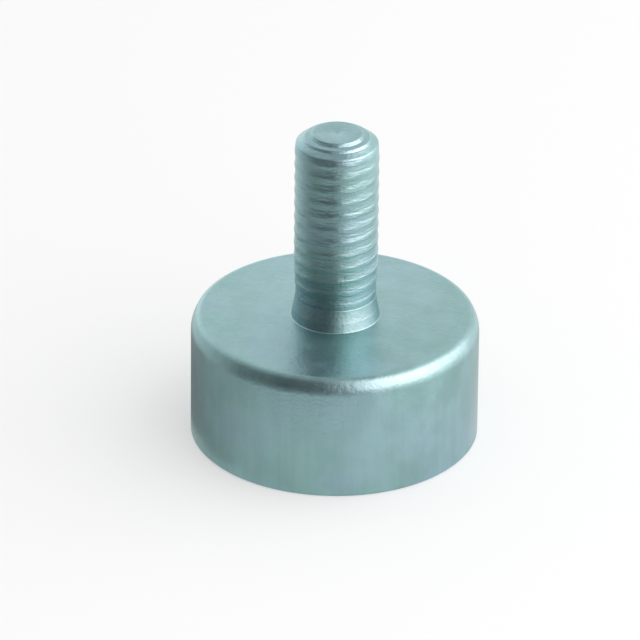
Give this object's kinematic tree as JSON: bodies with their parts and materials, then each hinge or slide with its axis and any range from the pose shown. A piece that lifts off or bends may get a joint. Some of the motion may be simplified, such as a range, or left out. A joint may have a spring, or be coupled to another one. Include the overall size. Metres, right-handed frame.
{
  "type": "pot magnet with threaded stud",
  "caption": "Small flat pot magnet: a zinc-plated steel cup with a magnet disc potted in its underside, and a male threaded stud on top for screwing it to a part.",
  "frame": {"origin": "centre of the flat gripping rim, which the part stands on", "axes": "+Z along the common axis of pot and stud, out of the stud's tip; X and Y are free"},
  "size_m": [0.01, 0.01, 0.0115],
  "materials": {
    "zinc_plated_steel": "satin blue-passivated zinc plating",
    "nickel_plated_magnet": "satin nickel plating on a sintered magnet",
    "potting_resin": "cured dark epoxy, slightly glossy"
  },
  "bodies": {
    "root": {"pot_housing": "zinc_plated_steel", "magnet_disc": "nickel_plated_magnet", "potting_ring": "potting_resin"}
  },
  "joints": []
}
